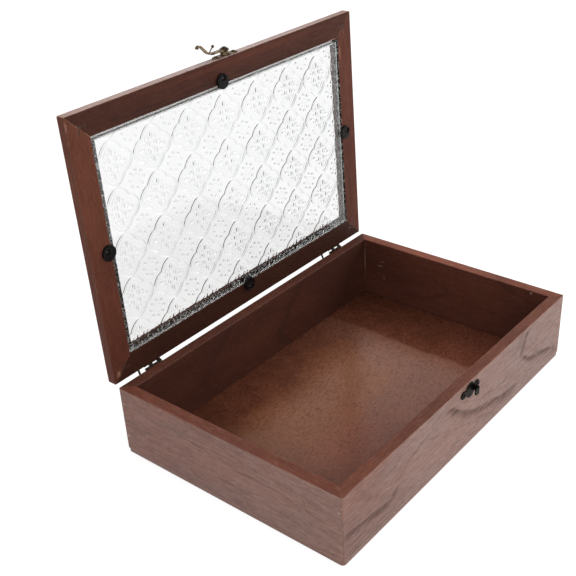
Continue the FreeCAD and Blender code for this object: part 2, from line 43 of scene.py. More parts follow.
# Sizes and places shared with the solids, in millimetres from the middle of the box's foot

LID_LENGTH = 300.0
LID_DEPTH = 200.0
LID_INNER_Z = 57.8
HINGE_Y = 101.9
HINGE_Z = 56.5
LID_OPEN = math.radians(92.0)
BOX_FLOOR = 3.5


def lid_point(x, s, h):
    """A point of the open lid in metres, from its left end, its hinge edge and its inner face."""
    y = LID_DEPTH / 2 - s - HINGE_Y
    z = LID_INNER_Z - h - HINGE_Z
    c, d = math.cos(-LID_OPEN), math.sin(-LID_OPEN)
    return Vector((x - LID_LENGTH / 2, HINGE_Y + y * c - z * d, HINGE_Z + y * d + z * c)) * MM


# Camera, with its place in millimetres and its angles in radians

CAM_PLACE = (-506.411, -375.381, 460.700)
CAM_AZIMUTH = 0.872562
CAM_ELEVATION = 0.535480
CAM_ROLL = -0.047561
CAM_LENS = 61.153
CAM_SENSOR = 36.0
CAM_SHIFT = (-0.02562, 0.03364)
CAM_REACH = (0.01, 50.0)


def add_camera():
    """The photograph's camera."""
    ahead = Vector((math.cos(CAM_ELEVATION) * math.sin(CAM_AZIMUTH),
                    math.cos(CAM_ELEVATION) * math.cos(CAM_AZIMUTH), -math.sin(CAM_ELEVATION)))
    level = Vector((math.cos(CAM_AZIMUTH), -math.sin(CAM_AZIMUTH), 0))
    upward = level.cross(ahead)
    right = math.cos(CAM_ROLL) * level + math.sin(CAM_ROLL) * upward
    up = math.cos(CAM_ROLL) * upward - math.sin(CAM_ROLL) * level
    data = bpy.data.cameras.new("camera")
    data.lens = CAM_LENS
    data.sensor_width = CAM_SENSOR
    data.shift_x, data.shift_y = CAM_SHIFT
    data.clip_start, data.clip_end = CAM_REACH
    cam = bpy.data.objects.new("camera", data)
    turn = Matrix((right, up, -ahead)).transposed().to_4x4()
    cam.matrix_world = Matrix.Translation(Vector(CAM_PLACE) * MM) @ turn
    bpy.context.scene.collection.objects.link(cam)
    bpy.context.scene.camera = cam


# Node trees

class Tree:
    """A node tree, with short calls for the nodes used here."""

    def __init__(self, tree):
        self.tree = tree

    def node(self, kind, **settings):
        n = self.tree.nodes.new(kind)
        for key, value in settings.items():
            setattr(n, key, value)
        return n

    def feed(self, socket, value):
        """Links a socket to a node's output, or sets it to a plain value."""
        if isinstance(value, bpy.types.NodeSocket):
            self.tree.links.new(value, socket)
        elif isinstance(value, (tuple, list)) and len(value) == 3 and socket.type == "RGBA":
            socket.default_value = (*value, 1.0)
        else:
            socket.default_value = value

    def call(self, kind, values, **settings):
        """A new node whose inputs take these values in order."""
        n = self.node(kind, **settings)
        for socket, value in zip(n.inputs, values):
            self.feed(socket, value)
        return n

    def shader(self, kind, **values):
        """A shader node's output, its inputs set by name."""
        n = self.node(kind)
        for name, value in values.items():
            self.feed(n.inputs[name], value)
        return n.outputs[0]

    def math(self, operation, a, b=0.0, clamp=False):
        return self.call("ShaderNodeMath", (a, b), operation=operation, use_clamp=clamp).outputs[0]

    def times(self, first, *others):
        for other in others:
            first = self.math("MULTIPLY", first, other)
        return first

    def plus(self, a, b):
        return self.math("ADD", a, b)

    def less(self, a, b):
        return self.math("SUBTRACT", a, b)

    def most(self, a, b):
        return self.math("MAXIMUM", a, b)

    def vector(self, operation, a, b=(0.0, 0.0, 0.0)):
        n = self.call("ShaderNodeVectorMath", (a, b), operation=operation)
        return n.outputs["Value"] if operation in ("DOT_PRODUCT", "LENGTH") else n.outputs[0]

    def split(self, vector):
        return self.call("ShaderNodeSeparateXYZ", (vector,)).outputs

    def join(self, x, y, z):
        return self.call("ShaderNodeCombineXYZ", (x, y, z)).outputs[0]

    def span(self, value, lo, hi, out_lo=0.0, out_hi=1.0, way="SMOOTHSTEP"):
        """value carried from lo..hi to out_lo..out_hi, and clamped."""
        n = self.call("ShaderNodeMapRange", (value, lo, hi, out_lo, out_hi), interpolation_type=way)
        return n.outputs[0]

    def between(self, value, rise, fall):
        """1 between two soft sides, each given from its outer to its inner end."""
        return self.times(self.span(value, *rise), self.span(value, *fall))

    def blend(self, amount, a, b):
        """A number between two others."""
        n = self.node("ShaderNodeMix")
        for k, value in ((0, amount), (2, a), (3, b)):
            self.feed(n.inputs[k], value)
        return n.outputs[0]


# Rays that look for an edge, and the cosines between which one is near or a face looks one way

EDGE_SAMPLES = 6
NEAR_EDGE = (0.997, 0.86)
LOOKS_THAT_WAY = (0.5, 0.8)


class Shader(Tree):
    """A material, with short calls for textures and colours."""

    def __init__(self, name):
        self.mat = bpy.data.materials.new(name)
        self.mat.use_nodes = True
        super().__init__(self.mat.node_tree)
        self.bsdf = self.tree.nodes["Principled BSDF"]
        place = self.node("ShaderNodeTexCoord")
        self.at, self.facing = place.outputs["Object"], place.outputs["Normal"]

    def noise(self, vector, scale, detail, rough):
        n = self.node("ShaderNodeTexNoise")
        self.feed(n.inputs["Vector"], vector)
        n.inputs["Scale"].default_value = scale
        n.inputs["Detail"].default_value = detail
        n.inputs["Roughness"].default_value = rough
        return n.outputs["Fac"]

    def mix(self, amount, a, b, blend="MIX"):
        n = self.node("ShaderNodeMix", data_type="RGBA", blend_type=blend)
        for k, value in ((0, amount), (6, a), (7, b)):
            self.feed(n.inputs[k], value)
        return n.outputs[2]

    def darker(self, colour, level):
        return self.mix(1.0, colour, self.join(level, level, level), "MULTIPLY")

    def bump(self, height, depth, normal=None):
        n = self.node("ShaderNodeBump")
        n.inputs["Distance"].default_value = depth
        self.feed(n.inputs["Height"], height)
        if normal is not None:
            self.feed(n.inputs["Normal"], normal)
        return n.outputs[0]

    def rounded(self, radius):
        """The normal with its sharp edges rounded, and how near an edge is, from 0 to 1."""
        n = self.node("ShaderNodeBevel", samples=EDGE_SAMPLES)
        n.inputs["Radius"].default_value = radius
        flat = self.node("ShaderNodeNewGeometry").outputs["True Normal"]
        same = self.vector("DOT_PRODUCT", n.outputs[0], flat)
        return n.outputs[0], self.span(same, *NEAR_EDGE)

    def towards(self, way):
        """1 on the faces that look this way."""
        return self.span(self.vector("DOT_PRODUCT", self.facing, way), *LOOKS_THAT_WAY)

    def set(self, **values):
        """Sets the surface's own inputs and gives the material back."""
        for name, value in values.items():
            self.feed(self.bsdf.inputs[name.replace("_", " ").title().replace("Ior", "IOR")], value)
        return self.mat


# Wood

STAIN_LIGHT = (0.205, 0.062, 0.034)
STAIN_MID = (0.138, 0.038, 0.021)
STAIN_DARK = (0.028, 0.009, 0.006)
WORN_WOOD = (0.46, 0.25, 0.17)
# Painted sheen: a pale colour mixed into the satin faces, a painted reflection of the bright
# surround
PAINTED_SHEEN = (0.46, 0.34, 0.29)
GLUE = (0.33, 0.24, 0.17)
DUST = (0.40, 0.31, 0.28)
# Painted sheen along the lid's top edge, a painted reflection of the bright surround
TOP_EDGE_SHEEN = (0.38, 0.33, 0.335)
# Painted shadow on the frame behind the pane, with paler curls as painted glints
LIP_SHADOW_PAINT = (0.006, 0.0055, 0.0055)
LIP_SHADOW_CURLS = (0.34, 0.38, 0.36)
# Painted light behind the pane under the front rail, with darker curls as painted shade
LIP_LIGHT_PAINT = (0.78, 0.78, 0.78)
LIP_LIGHT_CURLS = (0.57, 0.6, 0.57)

# How much of each layer shows, from 0 to 1

PORE_STAIN = 0.52
FIGURE_STAIN = 0.62
FIGURE_OVER_SHEEN = 0.6
FIGURE_OVER_GLOSS = 0.7
FIGURE_SUNK = 0.5
THIN_RINGS = 0.22
PORES_INSIDE = 0.45
# Painted shadow along the inner foot of the boards
FOOT_SHADOW_PAINT = 0.8
RUBBED_EDGE = 0.20
CHIPPED_EDGE = 0.8
PAINT_BEHIND_PANE = 0.94
FREE_EDGE_STAIN = 0.75
SATIN = 0.23

# Textures of wood: stretch along the grain, repeats per metre, detail, roughness, how far one
# step of the seed moves it, and where it starts

AT_ZERO = (0.0, 0.0, 0.0)
SWAY = (0.8, 60.0, 3.0, 0.6, (0.0, 0.37, 0.21), AT_ZERO)
FIBRE = (0.10, 760.0, 4.0, 0.62, (0.0, 0.37, 0.0), AT_ZERO)
CLOUD = (0.4, 26.0, 3.0, 0.6, (0.37, 0.37, 0.0), AT_ZERO)
PORES = (0.20, 980.0, 2.0, 0.5, (0.37, 0.0, 0.37), AT_ZERO)
FLECKS = (0.34, 640.0, 3.0, 0.6, (0.37, 0.37, 0.0), (0.0, 0.0, 0.1))
STREAKS = (0.05, 130.0, 3.0, 0.6, (0.0, 0.37, 0.0), (0.2, 0.0, 0.0))
BEND = (0.5, 16.0, 2.0, 0.5, (0.37, 0.11, 0.0), AT_ZERO)
PATCHES = (0.6, 20.0, 2.0, 0.5, (0.3, 0.0, 0.0), AT_ZERO)
CHIPS = (0.6, 230.0, 4.0, 0.66, (0.37, 0.0, 0.0), AT_ZERO)

# Texture values between which a layer comes in, some with its amount at both ends

PORES_SHOW = (0.56, 0.70)
FLECKS_SHOW = (0.52, 0.72)
STREAKS_SHOW = (0.45, 0.70)
FIBRES_SHOW = (0.38, 0.68)
LIGHT_SHOWS = (0.30, 0.70)
RINGS_SHOW = (0.40, 0.58, 0.35, 1.0)
CHIPS_SHOW = (0.54, 0.62)
LINE_IN_FIBRES = (0.36, 0.60, 0.55, 1.0)
SHEEN_IN_CLOUDS = (0.25, 0.75)
SHEEN_IN_FIBRES = (0.35, 0.65, 1.15, 0.80)
ROUGH_IN_FIBRES = (0.35, 0.65, 0.58, 0.74)
SHEEN_RANGE = (1.15, 0.85)
STREAK_SHARE = 0.6
FLECK_SHARE = 0.75
FIBRE_HEIGHT = 0.6

# Soft sides of rings, lines, spots and curls

RING_SIDES = ((0.0, 0.05), (0.20, 0.05))
THIN_PER_RING = 7.0
THIN_SIDES = ((0.0, 0.3), (0.7, 0.3))
LINE_ENDS = ((0.0, 0.12), (1.0, 0.88))
SPOT_SIDE = (2.30, 2.00)
SPOT_BREAK = 3.2
CURL_COUNT = 6.0
CURL_SIDE = (0.15, 0.05)
BESIDE_PANE = (-0.05, -0.10)

# Other textures: repeats per metre, detail and roughness

BROKEN_OUTLINE = (1300.0, 3.0, 0.7)
CURLING = (130.0, 2.0, 0.5)
PANEL_FLECKS = (640.0, 5.0, 0.66)
PANEL_MOTTLE = (95.0, 4.0, 0.6)
PANEL_DRIFTING = (18.0, 3.0, 0.55)
METAL_PATCHES = (420.0, 4.0, 0.62)
METAL_GRIME = (1500.0, 3.0, 0.6)
RUBBER_GRAIN = (2600.0, 2.0, 0.5)
RUBBER_DUST = (520.0, 4.0, 0.65)
GLASS_SMOKE = (42.0, 2.0, 0.5)
GLASS_UNEVEN = (22.0, 2.0, 0.5)
GLASS_CHIPS = (900.0, 3.0, 0.6)

# Sizes of the wood's surface, in millimetres

FOOT_SHADOW_HEIGHT = 5.0
BOARD_EDGE = 0.9
PANEL_EDGE = 0.8
BOARD_RELIEF = 0.13
PANEL_RELIEF = 0.07
RING_BEND = 22.0
RING_SWAY = 10.0
LINE_REACH = 100.0
LINE_MARGIN = 5.0
LINE_SWAY = 8.0
REBATE_FADE = 0.4


class Wood(Shader):
    """Stained open-pored wood whose grain runs along axis 0, 1 or 2 of the object."""

    def __init__(self, name, along, seed):
        super().__init__(name)
        self.axes = self.split(self.at)
        rest = [self.axes[k] for k in range(3)]
        self.run = rest.pop(along)
        self.across, self.depth = rest
        self.seed = seed
        self.sway = self.texture(SWAY)
        self.fibre = self.texture(FIBRE)
        self.cloud = self.texture(CLOUD)
        self.pores = self.times(self.span(self.texture(PORES), *PORES_SHOW), PORE_STAIN)
        self.flecks = self.span(self.texture(FLECKS), *FLECKS_SHOW)

    def texture(self, kind):
        """One of the wood's textures, drawn out along the grain and moved by the seed."""
        stretch, scale, detail, rough, per_seed, start = kind
        place = self.join(self.times(self.run, stretch), self.across, self.depth)
        offset = tuple(self.seed * step + first for step, first in zip(per_seed, start))
        return self.noise(self.vector("ADD", place, offset), scale, detail, rough)

    def grain(self, streaks):
        """The stained wood's own colour."""
        streak = self.span(self.texture(STREAKS), *STREAKS_SHOW, 0.0, streaks * STREAK_SHARE)
        fibre = self.span(self.fibre, *FIBRES_SHOW, 0.0, streaks)
        colour = self.mix(self.span(self.cloud, *LIGHT_SHOWS), STAIN_MID, STAIN_LIGHT)
        colour = self.mix(streak, colour, STAIN_DARK)
        colour = self.mix(fibre, colour, STAIN_DARK)
        return self.mix(self.times(self.flecks, streaks * FLECK_SHARE), colour, WORN_WOOD)

    def rings(self, spacing, slope, start, pith):
        """Arched year rings round a pith at (across, depth) that leans by slope along the grain."""
        bend = self.texture(BEND)
        a = self.less(self.across, pith[0])
        b = self.less(self.depth, pith[1])
        radius = self.math("SQRT", self.plus(self.times(a, a), self.times(b, b)))
        radius = self.less(radius, self.times(self.run, slope))
        for wave, reach in ((bend, RING_BEND), (self.sway, RING_SWAY)):
            radius = self.plus(radius, self.times(self.less(wave, 0.5), reach * MM))
        turn = self.math("FRACT", self.math("DIVIDE", self.less(radius, start * MM), spacing * MM))
        band = self.between(turn, *RING_SIDES)
        thin = self.between(self.math("FRACT", self.times(turn, THIN_PER_RING)), *THIN_SIDES)
        return self.most(band, self.times(thin, THIN_RINGS))

    def curve(self, along, heights):
        """A smooth curve over 0..1 through pairs of place and height."""
        n = self.node("ShaderNodeFloatCurve")
        points = n.mapping.curves[0].points
        points[0].location, points[-1].location = heights[0], heights[-1]
        for place, height in heights[1:-1]:
            points.new(place, height)
        n.mapping.update()
        self.feed(n.inputs["Value"], along)
        return n.outputs[0]

    def line(self, u, v, points, before, after):
        """A line through points (u, v) in mm along two object axes, fading before and after it."""
        first, last = points[0][0], points[-1][0]
        low = min(b for a, b in points) - LINE_MARGIN
        heights = [((a - first) / (last - first), (b - low) / LINE_REACH) for a, b in points]
        t = self.math("DIVIDE", self.less(self.axes[u], first * MM), (last - first) * MM)
        height = self.times(self.curve(t, heights), LINE_REACH * MM)
        wave = self.times(self.less(self.sway, 0.5), LINE_SWAY * MM)
        off = self.plus(self.less(self.axes[v], low * MM), wave)
        sides = self.between(self.less(off, height), (-before * MM, 0.0), (after * MM, 0.0))
        ends = self.between(t, *LINE_ENDS)
        return self.times(sides, ends, self.span(self.fibre, *LINE_IN_FIBRES))

    def figured(self, outside, rings, figure, lines):
        """How dark the figure is: patchy rings, and the board's own lines on its outer face."""
        patch = self.times(self.span(self.texture(PATCHES), *RINGS_SHOW), figure)
        band = self.times(self.rings(*rings), patch)
        for u, v, points, before, after, strength in lines:
            line = self.times(self.line(u, v, points, before, after), strength)
            band = self.most(band, self.times(line, outside))
        return band

    def painted_sheen(self, outside, rim, band, sheen_paint, top_sheen_paint, sheen_fade):
        """How thick the painted sheen of the satin faces lies, a painted reflection of the bright
        surround; it is thinner over the figure.
        """
        amount = self.span(self.cloud, *SHEEN_IN_CLOUDS, *(sheen_paint * share for share in SHEEN_RANGE))
        amount = self.times(outside, amount)
        if sheen_fade:
            amount = self.times(amount, self.span(self.run, *sheen_fade, 0.5, 1.0))
        amount = self.most(amount, self.times(rim, top_sheen_paint))
        amount = self.times(amount, self.less(1.0, self.times(band, FIGURE_OVER_SHEEN)))
        return self.times(amount, self.span(self.fibre, *SHEEN_IN_FIBRES))

    def stained(self, colour, outside, band):
        """Dark stain in the figure and the pores, the pores fainter inside, and a painted shadow
        inside along the board's foot.
        """
        colour = self.mix(self.times(band, FIGURE_STAIN), colour, STAIN_DARK)
        shown = self.plus(self.times(outside, 1.0 - PORES_INSIDE), PORES_INSIDE)
        colour = self.mix(self.times(self.pores, shown), colour, STAIN_DARK)
        # Painted shadow: a dark band along the foot of the faces that do not look out, where they
        # meet the floor panel
        foot_shadow = self.span(self.axes[2], FOOT_SHADOW_HEIGHT * MM, BOX_FLOOR * MM)
        foot_shadow = self.times(foot_shadow, self.less(1.0, outside))
        return self.mix(self.times(foot_shadow, FOOT_SHADOW_PAINT), colour, STAIN_DARK)

    def rubbed(self, colour, edge):
        """Edges rubbed pale, and here and there chipped."""
        chips = self.span(self.texture(CHIPS), *CHIPS_SHOW, 0.0, CHIPPED_EDGE)
        chipped = self.times(edge, chips)
        return self.mix(self.most(chipped, self.times(edge, RUBBED_EDGE)), colour, WORN_WOOD)

    def spot(self, centre, size):
        """1 inside an oval with a broken outline, its centre in metres and its half sizes in mm."""
        off = self.vector("SUBTRACT", self.at, tuple(centre))
        off = self.vector("DIVIDE", off, tuple(s * MM for s in size))
        far = self.math("SQRT", self.vector("DOT_PRODUCT", off, off))
        rough = self.noise(self.at, *BROKEN_OUTLINE)
        return self.span(self.plus(far, self.times(rough, SPOT_BREAK)), *SPOT_SIDE)

    def curls(self):
        """Thin winding lines."""
        n = self.times(self.noise(self.at, *CURLING), CURL_COUNT)
        off = self.math("ABSOLUTE", self.less(self.math("FRACT", n), 0.5))
        return self.span(off, *CURL_SIDE)

    def around_glass(self, outer, opening, level):
        """Two masks: the faces that lie behind or beside the pane, and the lip's free edge. level
        is how far out the pane's outer face lies, and opening the way to the pane along the lid."""
        inward = self.times(self.axes[0], self.split(self.facing)[0])
        side = self.span(inward, *BESIDE_PANE) if opening is None else self.towards(opening)
        out = self.vector("DOT_PRODUCT", self.at, outer)
        far = self.span(out, level, level + REBATE_FADE * MM)
        lip = self.times(far, self.towards(tuple(-v for v in outer)))
        rebate = self.times(self.less(1.0, far), side)
        return self.most(lip, rebate), self.times(far, side)

    def filled(self, colour, outer, opening, level, behind_paint, curls):
        """The painted colour behind the pane, behind_paint with thin curls of the colour curls, and
        the stained free edge of the lip. behind_paint is painted shadow on most of the frame and
        painted light under the front rail.
        """
        hidden, free_edge = self.around_glass(outer, opening, level)
        behind_pane_colour = self.mix(self.curls(), behind_paint, curls)
        # Painted light and shade behind the pane, with its curls
        colour = self.mix(self.times(hidden, PAINT_BEHIND_PANE), colour, behind_pane_colour)
        return self.mix(self.times(free_edge, FREE_EDGE_STAIN), colour, STAIN_DARK)


def wood(name, along, seed, outer, sheen_paint, shade, top, rings, figure, spec=0.38, tone=1.0,
         sheen_fade=None, top_sheen_paint=0.0, streaks=0.26, lines=(), spots=(), glazed=None):
    """A board's material. outer is the way its satin outer face looks and sheen_paint the painted
    sheen there, a painted reflection of the bright surround, which halves towards sheen_fade[0]
    from sheen_fade[1] along the grain. top is the tone of faces that look up, top_sheen_paint
    their painted sheen, and shade the tone of all others; these tones are painted shade against
    the full tone of the outer face. figure is how strong the rings show, lines and spots are
    marks of its own, and glazed says which faces lie behind the pane."""
    sh = Wood(name, along, seed)
    outside, rim = sh.towards(outer), sh.towards(UP)
    band = sh.figured(outside, rings, figure, lines)
    # Painted shade: faces that look out keep the full tone, faces that look up take top, and all
    # others take shade
    level = sh.plus(sh.times(outside, 1.0 - shade), shade)
    level = sh.plus(level, sh.times(rim, top - shade))
    colour = sh.darker(sh.grain(streaks), level)
    # Painted sheen on the outer faces and, where top_sheen_paint is set, on the faces that look up
    colour = sh.mix(sh.painted_sheen(outside, rim, band, sheen_paint, top_sheen_paint, sheen_fade), colour, PAINTED_SHEEN)
    normal, edge = sh.rounded(BOARD_EDGE * MM)
    colour = sh.rubbed(sh.stained(colour, outside, band), edge)
    for centre, size, strength, shown in spots:
        colour = sh.mix(sh.times(sh.spot(centre, size), strength), colour, shown)
    if glazed:
        colour = sh.filled(colour, outer, *glazed)

    satin = sh.most(outside, sh.times(rim, 1.0 if top_sheen_paint else 0.0))
    satin = sh.times(satin, sh.less(1.0, sh.times(band, FIGURE_OVER_GLOSS)))
    rough = sh.less(sh.span(sh.fibre, *ROUGH_IN_FIBRES), sh.times(satin, SATIN))
    relief = sh.less(sh.times(sh.fibre, FIBRE_HEIGHT), sh.pores)
    relief = sh.less(relief, sh.times(band, FIGURE_SUNK))
    return sh.set(base_color=sh.darker(colour, tone), roughness=rough, specular_ior_level=spec,
                  normal=sh.bump(relief, BOARD_RELIEF * MM, normal))


# Bottom panel. Most spans are places in metres, some with the values at their ends

PANEL_SEED = 4
PANEL_DARK = (0.082, 0.024, 0.0125)
PANEL_LIGHT = (0.108, 0.033, 0.017)
PANEL_YELLOW = (0.185, 0.066, 0.027)
PANEL_WARM = (0.165, 0.050, 0.030)
# Painted reflection of the bright surround on the panel's satin face
PANEL_REFLECTION_PAINT = (0.42, 0.21, 0.145)
PANEL_RIM = (0.235, 0.115, 0.088)
PANEL_DRIFT = 0.09
YELLOW_SLANT = 0.12
YELLOW_SIDES = ((-0.075, -0.030), (0.045, 0.005))
YELLOW_END = (0.085, 0.035)
YELLOW_AMOUNT = 0.70
WARM_FRONT = (0.010, -0.045, 0.0, 0.55)
REFLECTION_LINE = (0.089, 0.083)
REFLECTION_FADE = (-0.060, 0.055)
LINE_DRIFT = 0.08
FADE_DRIFT = 2.0
REFLECTION_BACK = (0.085, 0.012, 0.25, 1.0)
REFLECTION_RIGHT = (0.045, 0.078, 0.16, 0.27)
# Painted shade near the back, right and left walls: places in metres and the tone at both ends
SHADE_NEAR_BACK = (0.018, 0.075, 1.0, 0.74)
SHADE_NEAR_RIGHT = (0.088, 0.130, 1.0, 0.62)
SHADE_NEAR_LEFT = (-0.060, -0.100, 1.0, 0.78)
RIM_FACES = (0.6, 0.2, 0.0, 0.85)
FLECK_STRETCH = 0.5
MOTTLE_SHOWS = (0.30, 0.70)
DARK_FLECKS = (0.50, 0.66, 0.0, 0.40)
PALE_FLECKS = (0.46, 0.30, 0.0, 0.12)
PANEL_ROUGH = (0.3, 0.7, 0.15, 0.24)
PANEL_SHEEN = 0.31
PANEL_RUBBED = 0.25


def panel_painted_reflection(sh, x, y, drift):
    """A painted reflection of the bright surround that ends in a line along the right wall and
    fades towards the left and the back.
    """
    line = sh.span(sh.plus(x, sh.times(drift, LINE_DRIFT)), *REFLECTION_LINE)
    amount = sh.times(line, sh.span(sh.plus(x, sh.times(drift, FADE_DRIFT)), *REFLECTION_FADE))
    return sh.times(amount, sh.span(sh.plus(y, drift), *REFLECTION_BACK), sh.span(x, *REFLECTION_RIGHT))


def panel_stain(sh, x, y, mottle):
    """The sheet's colours: mottled brown, a slanting yellower cloud, warmer in front, and a painted
    reflection over them.
    """
    drift = sh.times(sh.less(sh.noise(sh.at, *PANEL_DRIFTING), 0.5), PANEL_DRIFT)
    colour = sh.mix(sh.span(mottle, *MOTTLE_SHOWS), PANEL_DARK, PANEL_LIGHT)
    slant = sh.plus(sh.less(sh.times(x, YELLOW_SLANT), y), drift)
    yellow = sh.times(sh.between(slant, *YELLOW_SIDES), sh.span(x, *YELLOW_END))
    colour = sh.mix(sh.times(yellow, YELLOW_AMOUNT), colour, PANEL_YELLOW)
    colour = sh.mix(sh.span(sh.plus(y, drift), *WARM_FRONT), colour, PANEL_WARM)
    return sh.mix(panel_painted_reflection(sh, x, y, drift), colour, PANEL_REFLECTION_PAINT)


def panel_wood(name):
    """The thin bottom panel: a satin sheet with short fine flecks, with painted shade near the
    back, right and left walls, its rim stained like the boards."""
    sh = Wood(name, 0, PANEL_SEED)
    x, y, z = sh.axes
    fleck = sh.noise(sh.join(sh.times(x, FLECK_STRETCH), y, z), *PANEL_FLECKS)
    mottle = sh.noise(sh.at, *PANEL_MOTTLE)
    colour = panel_stain(sh, x, y, mottle)
    colour = sh.mix(sh.span(fleck, *DARK_FLECKS), colour, STAIN_DARK)
    colour = sh.mix(sh.span(fleck, *PALE_FLECKS), colour, WORN_WOOD)
    colour = sh.mix(sh.pores, colour, STAIN_DARK)
    # Painted shade near the walls
    wall_shade = sh.times(sh.span(y, *SHADE_NEAR_BACK), sh.span(x, *SHADE_NEAR_RIGHT), sh.span(x, *SHADE_NEAR_LEFT))
    flat = sh.math("ABSOLUTE", sh.split(sh.facing)[2])
    colour = sh.mix(sh.span(flat, *RIM_FACES), sh.darker(colour, wall_shade), PANEL_RIM)
    normal, edge = sh.rounded(PANEL_EDGE * MM)
    colour = sh.mix(sh.times(edge, PANEL_RUBBED), colour, WORN_WOOD)
    return sh.set(base_color=colour, roughness=sh.span(mottle, *PANEL_ROUGH),
                  specular_ior_level=PANEL_SHEEN,
                  normal=sh.bump(sh.less(fleck, sh.pores), PANEL_RELIEF * MM, normal))


# Metal and rubber

RUBBER_BLACK = (0.004, 0.0035, 0.0035)
RUBBER_EDGE = 0.35
RUBBER_RELIEF = 0.03
RUBBER_SHEEN = 0.12
RUBBER_ROUGH = (0.3, 0.7, 0.34, 0.50)
DUST_SHOWS = (0.56, 0.74)
DUST_AMOUNT = 0.05
# Painted highlight on the rubber's edges
EDGE_HIGHLIGHT_PAINT = 0.12
METAL_RUBBED = (0.42, 0.62)
METAL_EDGE_RUBBED = (0.3, 0.6, 0.25, 0.75)
METAL_GRIMY = (0.3, 0.7)
METAL_ROUGH = (-0.08, 0.14)
METALS = {
    # name: (dark patina, rubbed metal, roughness, share rubbed, rubbed edge and pitting in mm)
    "latch_bronze": ((0.040, 0.026, 0.017), (0.42, 0.295, 0.175), 0.38, 0.65, 0.28, 0.05),
    "catch_bronze": ((0.003, 0.0025, 0.0022), (0.30, 0.25, 0.21), 0.58, 0.07, 0.30, 0.20),
    "hinge_bronze": ((0.030, 0.022, 0.018), (0.26, 0.21, 0.16), 0.36, 0.35, 0.28, 0.05),
    "brad_steel": ((0.16, 0.10, 0.075), (0.52, 0.42, 0.35), 0.48, 0.6, 0.28, 0.05),
    "nail_steel": ((0.020, 0.014, 0.012), (0.20, 0.16, 0.14), 0.45, 0.30, 0.28, 0.05),
    "dark_screws": ((0.012, 0.011, 0.011), (0.16, 0.15, 0.14), 0.30, 0.35, 0.28, 0.05),
}


def metal(name):
    """Plated metal: a dark patina, rubbed bright in patches and on the edges."""
    dark, light, rough, rub, edge_radius, pitting = METALS[name]
    sh = Shader(name)
    patches = sh.noise(sh.at, *METAL_PATCHES)
    grime = sh.noise(sh.at, *METAL_GRIME)
    normal, edge = sh.rounded(edge_radius * MM)
    amount = sh.times(sh.span(patches, *METAL_RUBBED), rub)
    edge = sh.times(edge, sh.span(grime, *METAL_EDGE_RUBBED))
    colour = sh.mix(sh.math("ADD", amount, edge, clamp=True), dark, light)
    gloss = sh.span(grime, *METAL_GRIMY, *(rough + more for more in METAL_ROUGH))
    return sh.set(base_color=colour, metallic=1.0, roughness=gloss,
                  normal=sh.bump(grime, pitting * MM, normal))


def rubber(name):
    """Black rubber with a faint moulded grain and dust in it, and a painted highlight on its edges.
    """
    sh = Shader(name)
    grain = sh.noise(sh.at, *RUBBER_GRAIN)
    dust = sh.span(sh.noise(sh.at, *RUBBER_DUST), *DUST_SHOWS)
    normal, edge = sh.rounded(RUBBER_EDGE * MM)
    colour = sh.mix(sh.times(dust, DUST_AMOUNT), RUBBER_BLACK, DUST)
    # Painted highlight: the edges lightened towards the dust colour
    colour = sh.mix(sh.times(edge, EDGE_HIGHLIGHT_PAINT), colour, DUST)
    return sh.set(base_color=colour, roughness=sh.span(grain, *RUBBER_ROUGH),
                  specular_ior_level=RUBBER_SHEEN,
                  normal=sh.bump(grain, RUBBER_RELIEF * MM, normal))


# Glass

GLASS_IOR = 1.52
SHADE_WAY = (-0.94, 0.34)
CLEAR = (0.985, 0.99, 0.99)
SMOKY = (0.965, 0.97, 0.97)
SHADED = (0.12, 0.125, 0.13)
EDGE_GREEN = (0.62, 0.72, 0.68)
EDGE_PALE = (0.86, 0.92, 0.90)
RELIEF_ROUGH = 0.02
INNER_ROUGH = 0.10
EDGE_CHIPS = 0.12
SMOKE_SHOWS = (0.35, 0.65)
SMOKE_ROUGH = (0.3, 0.7)
ROUGH_RANGE = (0.8, 1.2)
SHADE_UNEVEN = (0.35, 0.65, 0.36, 0.66)
SHADE_SLOPES = (0.02, 0.24)
LEE_SLOPES = (-0.12, -0.45, 0.0, 0.20)
EDGE_PALES = (0.35, 0.65)
EDGE_ROUGH = (0.3, 0.7, 0.15, 0.45)


def glass_face(name, pressed, rough):
    """Clear glass. On the pressed face the relief's flanks are greyer as painted shade, most of all
    those that lean along SHADE_WAY of the lid, read from the relief's own normal."""
    sh = Shader(name)
    smoky = sh.noise(sh.at, *GLASS_SMOKE)
    colour = sh.mix(sh.span(smoky, *SMOKE_SHOWS), CLEAR, SMOKY)
    if pressed:
        tilt = (lid_point(*SHADE_WAY, 0) - lid_point(0, 0, 0)).normalized()
        slope = sh.vector("DOT_PRODUCT", sh.facing, tuple(tilt))
        uneven = sh.span(sh.noise(sh.at, *GLASS_UNEVEN), *SHADE_UNEVEN)
        dark = sh.span(slope, *SHADE_SLOPES, 0.0, uneven)
        lee = sh.span(slope, *LEE_SLOPES)
        colour = sh.mix(sh.most(dark, lee), colour, SHADED)
    rough = sh.span(smoky, *SMOKE_ROUGH, *(rough * share for share in ROUGH_RANGE))
    return sh.set(base_color=colour, roughness=rough, ior=GLASS_IOR, transmission_weight=1.0)


def glass_edge(name):
    """The pane's cut edge, greenish and a little frosted."""
    sh = Shader(name)
    chips = sh.noise(sh.at, *GLASS_CHIPS)
    colour = sh.mix(sh.span(chips, *EDGE_PALES), EDGE_GREEN, EDGE_PALE)
    return sh.set(base_color=colour, roughness=sh.span(chips, *EDGE_ROUGH),
                  normal=sh.bump(chips, EDGE_CHIPS * MM), ior=GLASS_IOR, transmission_weight=1.0)


# Pressed pattern, in millimetres, its heights as shares of RELIEF

